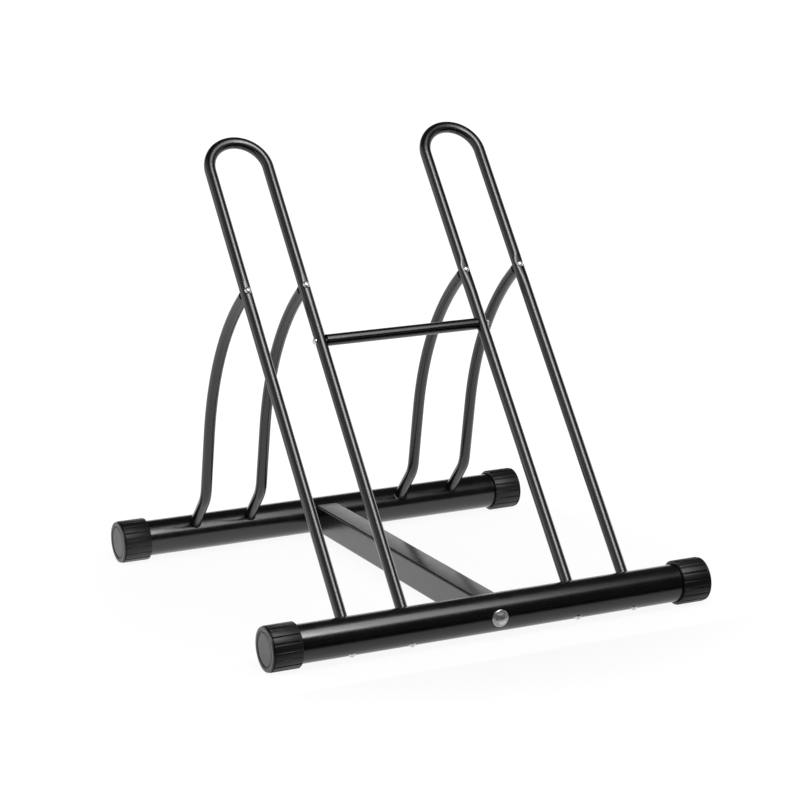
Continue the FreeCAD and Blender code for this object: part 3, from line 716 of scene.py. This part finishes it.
def wheel_hoop_piece(name, x, inner_side, sizes, dent_depth):
    """Two straight legs and a half-circle top.  The inner leg carries the crossbar."""
    half = LEG_SPACING / 2
    depth = entry_depth()
    length = depth + sizes.arc_height
    places = [depth + sizes.brace_height, depth + sizes.bar_height]
    stops = close_stops(length, places, sizes.dent_reach + 2 * MM, FINE, 25 * MM)
    bm = bmesh.new()
    ring = start_ring(bm, HOOP_TUBE / 2 - SKIN, TUBE_SEGMENTS, Matrix.Translation((-half, 0, -depth)))
    ring = run_on(bm, ring, Vector((0, 0, 1)), stops)
    ring = bend(bm, ring, (0, 0, sizes.arc_height), (0, 1, 0), pi, 72)
    run_on(bm, ring, Vector((0, 0, -1)), [length - stop for stop in reversed(stops[:-1])] + [length])
    front = Vector((0, -1, 0))
    up = Vector((0, 0, 1))
    for side in (-1, 1):
        dent(bm, Vector((side * half, -HOOP_TUBE / 2, sizes.brace_height)), front, up,
             dent_depth, sizes.seat, sizes.dent_reach)
    slot_side = Vector((-inner_side, 0, 0))
    dent(bm, Vector((inner_side * (half - HOOP_TUBE / 2), 0, sizes.bar_height)),
         slot_side, up, BAR_DENT, sizes.seat, BAR_DENT_SHARE * sizes.dent_reach)
    thicken(bm, sizes.wall)
    bmesh.ops.transform(bm, matrix=hoop_frame(x), verts=bm.verts)
    item = as_object(bm, name + "_enamelled", material_of("enamel"))
    return dress(item, "painted_tube", name)


class RACK_OT_hoops(Operator):
    """Two tall hoops of bent tube that hold the wheels"""
    bl_idname = "rack.hoops"
    bl_label = "Wheel hoops"

    def execute(self, context):
        sizes = context.scene.rack_hoops
        wheel_hoop_piece("left_hoop", HOOPS["left_hoop"], 1, sizes, sizes.left_dent)
        wheel_hoop_piece("right_hoop", HOOPS["right_hoop"], -1, sizes, sizes.right_dent)
        return {"FINISHED"}


# -------- braces and crossbar
def brace_piece(name, x, hoop, sizes):
    """A bent prop: a short straight, one long sweep, a straight shin, and the knee that
    turns it into the rear tube."""
    spacing = REAR.y - FRONT.y
    slope = pi / 2 - hoop.lean - sizes.foot_lean
    top_y = HOOP_TUBE / 2 + SEAT_GAP
    sweep_y = top_y + sizes.top_run
    knee_y = spacing * cos(hoop.lean) - sizes.foot_run * cos(slope)
    knee_z = spacing * sin(hoop.lean) + sizes.foot_run * sin(slope)
    back = knee_y - sweep_y
    drop = hoop.brace_height - knee_z
    tangent = (back ** 2 + drop ** 2 - sizes.shin_run ** 2) / (2 * (back + sizes.shin_run))
    turn = atan(drop / (back - tangent))
    radius = tangent / tan(turn / 2)
    knee_turn = turn - slope
    knee_tangent = sizes.knee_radius * tan(knee_turn / 2)
    shin = sizes.shin_run - knee_tangent
    foot = sizes.foot_run - knee_tangent + entry_depth()
    bm = bmesh.new()
    start = Matrix.Translation((0, top_y, hoop.brace_height)) @ Matrix.Rotation(-pi / 2, 4, "X")
    ring = start_ring(bm, HOOP_TUBE / 2 - SKIN, TUBE_SEGMENTS, start)
    ring = run_on(bm, ring, Vector((0, 1, 0)), even_stops(sizes.top_run, 5 * MM))
    centre = Vector((0, sweep_y, hoop.brace_height - radius))
    ring = bend(bm, ring, centre, (-1, 0, 0), turn, 48)
    heading = Vector((0, cos(turn), -sin(turn)))
    away = Vector((0, sin(turn), cos(turn)))
    shin_end = centre + radius * away + heading * shin
    ring = run_on(bm, ring, heading, even_stops(shin, 20 * MM))
    knee_centre = shin_end + sizes.knee_radius * away
    ring = bend(bm, ring, knee_centre, (1, 0, 0), knee_turn, 24)
    run_on(bm, ring, Vector((0, cos(slope), -sin(slope))), even_stops(foot, 15 * MM))
    thicken(bm, hoop.wall)
    bmesh.ops.transform(bm, matrix=hoop_frame(x), verts=bm.verts)
    item = as_object(bm, name + "_enamelled", material_of("enamel"))
    return dress(item, "painted_tube", name)


class RACK_OT_braces(Operator):
    """Four bent props from the rear tube up to the hoop legs"""
    bl_idname = "rack.braces"
    bl_label = "Braces"

    def execute(self, context):
        scene = context.scene
        for name, x in BRACES.items():
            brace_piece(name, x, scene.rack_hoops, scene.rack_braces)
        return {"FINISHED"}


class RACK_OT_crossbar(Operator):
    """The straight tube that ties the hoops together"""
    bl_idname = "rack.crossbar"
    bl_label = "Crossbar"

    def execute(self, context):
        low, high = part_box("crossbar")
        centre = (low + high) / 2
        bm = bmesh.new()
        start = Matrix.Translation((low.x, centre.y, centre.z)) @ ALONG_X
        ring = start_ring(bm, (high.z - low.z) / 2, TUBE_SEGMENTS, start)
        run_on(bm, ring, Vector((1, 0, 0)), even_stops(high.x - low.x, 25 * MM))
        thicken(bm, context.scene.rack_hoops.wall)
        item = as_object(bm, "crossbar_enamelled", material_of("enamel"))
        dress(item, "painted_tube", "crossbar")
        return {"FINISHED"}


# -------- screws
BLADE = 1.2 * MM             # width of one blade of the cross recess


def turned(bm, profile, segments):
    """A closed solid of revolution about Z, from (radius, height) pairs that start and
    end on the axis, or go once round a ring."""
    verts = [bm.verts.new((away, 0, height)) for away, height in profile]
    edges = [bm.edges.new(pair) for pair in zip(verts, verts[1:])]
    bmesh.ops.spin(bm, geom=verts + edges, cent=(0, 0, 0), axis=(0, 0, 1),
                   angle=2 * pi, steps=segments, use_merge=True, use_duplicate=False)
    bmesh.ops.remove_doubles(bm, verts=bm.verts, dist=1e-6)
    bmesh.ops.recalc_face_normals(bm, faces=bm.faces)


def pan_screw_mesh(sizes, reach):
    """One screw: its head seats on z = 0 and points down, its shank runs up."""
    head = sizes.head / 2
    tall = sizes.head_height
    shank = sizes.shank / 2
    bm = bmesh.new()
    profile = [(0, -tall), (0.22 * head, -0.98 * tall), (0.42 * head, -0.92 * tall),
               (0.6 * head, -0.81 * tall), (0.76 * head, -0.66 * tall), (0.89 * head, -0.46 * tall),
               (0.97 * head, -0.25 * tall), (head, -0.1 * tall), (0.985 * head, 0), (shank, 0),
               (shank, reach - shank), (shank * 0.5, reach), (0, reach)]
    turned(bm, profile, 48)
    item = as_object(bm, "screw", material_of("zinc"))
    for angle in (0, pi / 2):
        # one blade of the cross, widest where it leaves the head
        cutter = bmesh.new()
        bmesh.ops.create_cone(cutter, cap_ends=True, segments=4, radius1=0.5, radius2=0.35,
                              depth=1.0, matrix=Matrix.Rotation(pi / 4, 4, "Z"))
        bmesh.ops.scale(cutter, vec=(0.5 * sizes.head, BLADE, 1.2 * tall), verts=cutter.verts)
        bmesh.ops.rotate(cutter, cent=(0, 0, 0), matrix=Matrix.Rotation(angle, 3, "Z"),
                         verts=cutter.verts)
        bmesh.ops.translate(cutter, vec=(0, 0, -tall), verts=cutter.verts)
        carve(item, as_object(cutter, "cutter"))
    mesh = item.data
    bpy.data.objects.remove(item)
    return mesh


def screw_set(name, node, reach, places):
    """Like screws of one node, each at a matrix of its own."""
    mesh = pan_screw_mesh(bpy.context.scene.rack_fasteners, reach)
    bm = bmesh.new()
    for place in places:
        before = len(bm.verts)
        bm.from_mesh(mesh)
        bm.verts.ensure_lookup_table()
        bmesh.ops.transform(bm, matrix=place, verts=bm.verts[before:])
    bpy.data.meshes.remove(mesh)
    item = as_object(bm, name, material_of("zinc"))
    return dress(item, "zinc_steel", node)


class RACK_OT_screws(Operator):
    """Pan head screws through the hoop legs, the crossbar ends and the base tubes"""
    bl_idname = "rack.screws"
    bl_label = "Pan head screws"

    def execute(self, context):
        scene = context.scene
        hoops = scene.rack_hoops
        reach = scene.rack_fasteners.reach
        seat = BASE_RADIUS + SEAT_GAP
        under = Matrix.Translation((0, 0, scene.rack_base.dent_depth - seat))
        inward = Matrix.Rotation(-pi / 2, 4, "X")
        foot = Matrix.Rotation(scene.rack_braces.foot_lean, 4, "X")
        leg_places, brace_places, foot_places, bar_places = [], [], [], []
        for i, (name, x) in enumerate(BRACES.items()):
            sunk = hoops.right_dent if "right" in name else hoops.left_dent
            spin = Matrix.Rotation(radians(17 + 40 * i), 4, "Z")
            brace_places.append(hoop_frame(x) @ Matrix.Translation(
                (0, sunk - HOOP_TUBE / 2 - SEAT_GAP, hoops.brace_height)) @ inward @ spin)
            leg_places.append(hoop_frame(x) @ under @ spin)
            foot_places.append(Matrix.Translation((x, REAR.y, REAR.z)) @ foot @ under @ spin)
        for name, side in (("left_hoop", 1), ("right_hoop", -1)):
            leg = HOOPS[name] + side * LEG_SPACING / 2
            across = Matrix.Rotation(side * pi / 2, 4, "Y")
            bar_places.append(hoop_frame(leg) @ Matrix.Translation(
                (side * (BAR_DENT - HOOP_TUBE / 2 - SEAT_GAP), 0, hoops.bar_height)) @ across)
        short = reach + seat - entry_depth()
        screw_set("hoop_leg_pan_screws", "hoop_leg_screws", short, leg_places)
        screw_set("brace_foot_pan_screws", "brace_foot_screws", short, foot_places)
        through = reach + HOOP_TUBE - hoops.left_dent
        screw_set("brace_pan_screws", "brace_screws", through, brace_places)
        screw_set("crossbar_pan_screws", "crossbar_screws", through, bar_places)
        return {"FINISHED"}


# -------- bolts
BOLT_HEAD = 5.3 * MM         # height
BOLT_TURN = radians(24)      # of the hexagons about their axes
WASHER_GAP = 0.3 * MM        # all round a bolt


def hexagon_bolt(name, node, place, length, sizes):
    """An M8 bolt: seat on z = 0, chamfered head below it, shank up."""
    bm = bmesh.new()
    corner = sizes.flats / 2 / cos(pi / 6)
    made = bmesh.ops.create_cone(bm, cap_ends=True, segments=6, radius1=corner, radius2=corner,
                                 depth=BOLT_HEAD)["verts"]
    bmesh.ops.translate(bm, verts=made, vec=(0, 0, -BOLT_HEAD / 2))
    item = as_object(bm, name, material_of("zinc"))
    rounder = bmesh.new()
    flat = 0.47 * sizes.flats
    turned(rounder, [(0, -BOLT_HEAD), (flat, -BOLT_HEAD),
                     (corner, -BOLT_HEAD + (corner - flat) * 0.6),
                     (corner, 1 * MM), (0, 1 * MM)], 96)
    carve(item, as_object(rounder, "rounder"), "INTERSECT")
    shank = bmesh.new()
    radius = sizes.bolt_shank / 2
    turned(shank, [(0, -1 * MM), (radius, -1 * MM), (radius, length - 0.8 * MM),
                   (radius - 0.8 * MM, length), (0, length)], 48)
    carve(item, as_object(shank, "shank"), "UNION")
    item.data.transform(place)
    return dress(item, "zinc_steel", node)


class RACK_OT_bolts(Operator):
    """The two bolts through the base tubes and their washers"""
    bl_idname = "rack.bolts"
    bl_label = "Beam bolts"

    def execute(self, context):
        sizes = context.scene.rack_fasteners
        washers = bmesh.new()
        radius = sizes.washer / 2
        hole = sizes.bolt_shank / 2 + WASHER_GAP
        thick = sizes.washer_thickness
        for name, node, axis, side in (("front_hex_bolt", "front_beam_bolt", FRONT, -1),
                                       ("rear_hex_bolt", "rear_beam_bolt", REAR, 1)):
            low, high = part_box(node)
            turn = Matrix.Rotation(side * pi / 2, 4, "X")
            seat = axis.y + side * (BASE_RADIUS + thick + 2 * SEAT_GAP)
            place = Matrix.Translation((axis.x, seat, axis.z)) @ turn
            shank = (high.y - seat) if side < 0 else (seat - low.y)
            hexagon_bolt(name, node, place @ Matrix.Rotation(BOLT_TURN, 4, "Z"), shank, sizes)
            flat = bmesh.new()
            turned(flat, [(hole, 0), (radius - 0.5 * MM, 0), (radius, 0.4 * MM),
                          (radius, thick - 0.2 * MM), (radius - 0.2 * MM, thick),
                          (hole, thick), (hole, 0)], 72)
            bmesh.ops.transform(flat, verts=flat.verts,
                                matrix=place @ Matrix.Translation((0, 0, SEAT_GAP)))
            mesh = bpy.data.meshes.new("washer")
            flat.to_mesh(mesh)
            flat.free()
            washers.from_mesh(mesh)
            bpy.data.meshes.remove(mesh)
        item = as_object(washers, "bolt_washers", material_of("zinc"))
        dress(item, "zinc_steel", "beam_washers")
        return {"FINISHED"}


# -------- inner pieces
class RACK_OT_inner_pieces(Operator):
    """Inserts, nut plates and nuts, which stay as they are and get their finish"""
    bl_idname = "rack.inner_pieces"
    bl_label = "Inserts, plates and nuts"

    def execute(self, context):
        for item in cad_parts.values():
            if not item.hide_render:
                item.data.materials.clear()
                item.data.materials.append(material_of("zinc"))
        return {"FINISHED"}


# -------- studio
FLOOR_MIRRORED = 1.35        # the paper under the rack, in reflections
BACKDROP = 0.9               # the white behind the rack, as it lights things
BACKDROP_MIRRORED = 1.75     # and in reflections
ROOM = 0.07                  # the dark rest of the room
KEY_PLACE = (-0.726, 1.373)  # the key box, in Y and Z
KEY_AIM = (0.054, 0.343)     # the point that it faces


def pale_floor(settings):
    """Matt white paper with a faint shadow under the rack.  The camera sees it just short
    of white there and past white further out, and reflections see it brighter still."""
    material, tree, place = new_surface("white studio paper")
    shine = add_node(tree, "ShaderNodeLightPath", {})
    seen = shine.outputs["Is Camera Ray"]
    for name in ("Is Glossy Ray", "Is Transmission Ray"):
        seen = add_node(tree, "ShaderNodeMath", {0: seen, 1: shine.outputs[name]},
                        operation="MAXIMUM").outputs[0]
    reach = add_node(tree, "ShaderNodeVectorMath", {0: place}, operation="LENGTH")
    level = add_node(tree, "ShaderNodeMapRange", {
        "Value": reach.outputs["Value"], "From Min": 0.35, "From Max": 0.75,
        "To Min": 0.92, "To Max": 1.06}, interpolation_type="SMOOTHSTEP")
    # in reflections the paper is brightest under the rack and dims behind it
    parts = add_node(tree, "ShaderNodeSeparateXYZ", {"Vector": place}).outputs
    front = add_node(tree, "ShaderNodeMapRange", {
        "Value": parts["Y"], "From Min": -0.35, "From Max": -0.15,
        "To Min": 0.8, "To Max": FLOOR_MIRRORED})
    back = add_node(tree, "ShaderNodeMapRange", {
        "Value": parts["Y"], "From Min": 0.4, "From Max": 1.0, "To Min": 1.0, "To Max": 0.6})
    mirrored = add_node(tree, "ShaderNodeMath", {0: front.outputs[0], 1: back.outputs[0]},
                        operation="MULTIPLY")
    strength = add_node(tree, "ShaderNodeMapRange", {
        "Value": shine.outputs["Is Glossy Ray"], "To Min": level.outputs[0],
        "To Max": mirrored.outputs[0]})
    paper = add_node(tree, "ShaderNodeBsdfDiffuse", {"Color": linear(settings.floor_colour)})
    shadow = add_node(tree, "ShaderNodeBsdfDiffuse", {"Color": (0.15, 0.15, 0.15, 1.0)})
    glow = add_node(tree, "ShaderNodeEmission", {"Strength": strength.outputs[0]})
    white = add_node(tree, "ShaderNodeAddShader", {0: shadow.outputs[0], 1: glow.outputs[0]})
    both = add_node(tree, "ShaderNodeMixShader", {
        0: seen, 1: paper.outputs[0], 2: white.outputs[0]})
    add_node(tree, "ShaderNodeOutputMaterial", {"Surface": both.outputs[0]})
    return material


def soft_box(name, place, target, width, height, radiance, lights=True):
    """A rectangular soft light that looks equally bright, at radiance, from anywhere.
    One that lights nothing shows in reflections only."""
    light = bpy.data.lights.new(name, "AREA")
    light.shape = "RECTANGLE"
    light.size = width
    light.size_y = height
    light.energy = radiance * pi * width * height
    item = bpy.data.objects.new(name, light)
    place = Vector(place)
    item.matrix_world = (Matrix.Translation(place)
                         @ (Vector(target) - place).to_track_quat("-Z", "Y").to_matrix().to_4x4())
    item.visible_camera = False
    item.visible_diffuse = lights
    bpy.context.scene.collection.objects.link(item)


def black_card(near, far, half_width):
    """A black card on the floor in front of the rack, hidden from the camera.  It keeps
    the middle of each tube black between the light above and the floor below."""
    material, tree, _ = new_surface("black card")
    card_stock = add_node(tree, "ShaderNodeBsdfDiffuse", {"Color": linear("0a0a0a")})
    add_node(tree, "ShaderNodeOutputMaterial", {"Surface": card_stock.outputs[0]})
    bm = bmesh.new()
    bmesh.ops.create_grid(bm, x_segments=1, y_segments=1, size=0.5)
    bmesh.ops.scale(bm, vec=(2 * half_width, far - near, 1), verts=bm.verts)
    bmesh.ops.translate(bm, vec=(0, -(near + far) / 2, 0.5 * MM), verts=bm.verts)
    card = as_object(bm, "black_card", material)
    card.visible_camera = False
    card.visible_shadow = False


def studio_world():
    """A dim room, white low down at the back where the paper sweeps up."""
    world = bpy.data.worlds.new("studio")
    bpy.context.scene.world = world
    world.use_nodes = True
    tree = world.node_tree
    tree.nodes.clear()
    way = add_node(tree, "ShaderNodeTexCoord", {}).outputs["Generated"]
    parts = add_node(tree, "ShaderNodeSeparateXYZ", {"Vector": way}).outputs
    low = add_node(tree, "ShaderNodeMapRange", {
        "Value": parts["Z"], "From Min": 0.36, "From Max": 0.26})
    back = add_node(tree, "ShaderNodeMapRange", {
        "Value": parts["Y"], "From Min": -0.4, "From Max": 0.1})
    both = add_node(tree, "ShaderNodeMath", {0: low.outputs[0], 1: back.outputs[0]},
                    operation="MULTIPLY")
    # reflections see the backdrop brighter than it lights things
    mirrored = add_node(tree, "ShaderNodeLightPath", {}).outputs["Is Glossy Ray"]
    white = add_node(tree, "ShaderNodeMapRange", {
        "Value": mirrored, "To Min": BACKDROP, "To Max": BACKDROP_MIRRORED})
    level = add_node(tree, "ShaderNodeMapRange", {
        "Value": both.outputs[0], "To Min": ROOM, "To Max": white.outputs[0]})
    sky = add_node(tree, "ShaderNodeBackground", {"Strength": level.outputs[0]})
    add_node(tree, "ShaderNodeOutputWorld", {"Surface": sky.outputs[0]})


def photo_camera(settings):
    """The photograph's camera, from its place, its three turns and its lens."""
    ahead = Vector((sin(settings.yaw) * cos(settings.pitch),
                    cos(settings.yaw) * cos(settings.pitch), sin(settings.pitch)))
    level = ahead.cross(Vector((0, 0, 1))).normalized()
    above = level.cross(ahead)
    right = level * cos(settings.roll) + above * sin(settings.roll)
    up = above * cos(settings.roll) - level * sin(settings.roll)
    camera = bpy.data.cameras.new("photo_camera")
    camera.lens = settings.lens
    camera.sensor_width = 36
    item = bpy.data.objects.new("photo_camera", camera)
    turn = Matrix((right, up, -ahead)).transposed().to_4x4()
    item.matrix_world = Matrix.Translation(settings.camera_place) @ turn
    bpy.context.scene.collection.objects.link(item)
    bpy.context.scene.camera = item


class RACK_OT_studio(Operator):
    """White floor, soft light, dim room and the photograph's camera"""
    bl_idname = "rack.studio"
    bl_label = "Studio"

    def execute(self, context):
        settings = context.scene.rack_studio
        context.scene.view_settings.view_transform = "Standard"
        bm = bmesh.new()
        bmesh.ops.create_grid(bm, x_segments=4, y_segments=4, size=settings.floor_side / 2)
        floor = as_object(bm, "studio_floor", pale_floor(settings))
        # one soft-edged box: widths in one place, brightest where they overlap.  The outer
        # two light the rack at a plain level, the rest is the box's glare in the enamel.
        for name, x, width, radiance, lights in (
                ("core", 0.14, 0.24, 15.0, False), ("inner", 0.16, 0.6, 2.0, False),
                ("outer", 0.16, 1.1, 3.6, True), ("edge", 0.16, 1.7, 0.7, True)):
            soft_box("key_softbox_" + name, (x, *KEY_PLACE), (x - 0.16, *KEY_AIM),
                     width, 1.0, radiance, lights)
        soft_box("key_softbox_top", (0.14, -0.625, 1.452), (-0.02, 0.155, 0.422),
                 0.8, 1.4, 2.0, False)
        for name, x, y, z, width, height, radiance in (
                ("left", -2.2, 0.05, 0.6, 3.3, 1.2, 0.7),
                ("left_upper", -2.2, 0.05, 1.9, 3.3, 1.4, 0.75),
                ("left_top", -2.2, -0.4, 3.2, 3.0, 1.2, 0.35),
                ("right", 2.2, 0.2, 0.4, 3.0, 0.8, 0.5)):
            soft_box(name + "_reflector", (x, y, z), (0, y, z), width, height, radiance)
        black_card(0.36, 4.0, 3.0)
        studio_world()
        photo_camera(settings)
        return {"FINISHED"}


# -------- add-on
OPERATORS = (RACK_OT_base_tubes, RACK_OT_end_caps, RACK_OT_beam, RACK_OT_hoops,
             RACK_OT_braces, RACK_OT_crossbar, RACK_OT_screws, RACK_OT_bolts,
             RACK_OT_inner_pieces, RACK_OT_studio)
GROUPS = {"rack_base": BaseSizes, "rack_caps": CapSizes, "rack_hoops": HoopSizes,
          "rack_braces": BraceSizes, "rack_fasteners": FastenerSizes,
          "rack_finishes": Finishes, "rack_studio": StudioSettings}


class RACK_PT_sidebar(Panel):
    """The rack's pieces and its studio, in the order they are made"""
    bl_label = "Floor Bike Rack"
    bl_idname = "RACK_PT_sidebar"
    bl_space_type = "VIEW_3D"
    bl_region_type = "UI"
    bl_category = "Rack"

    def draw(self, context):
        for operator in OPERATORS:
            self.layout.operator(operator.bl_idname)


CLASSES = (*GROUPS.values(), *OPERATORS, RACK_PT_sidebar)


def register():
    for item in CLASSES:
        bpy.utils.register_class(item)
    for name, group in GROUPS.items():
        setattr(bpy.types.Scene, name, PointerProperty(type=group))


def unregister():
    for name in GROUPS:
        delattr(bpy.types.Scene, name)
    for item in reversed(CLASSES):
        bpy.utils.unregister_class(item)


def main():
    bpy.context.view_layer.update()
    register()
    for operator in OPERATORS:
        group, name = operator.bl_idname.split(".")
        getattr(getattr(bpy.ops, group), name)()


if __name__ == "__main__":
    main()
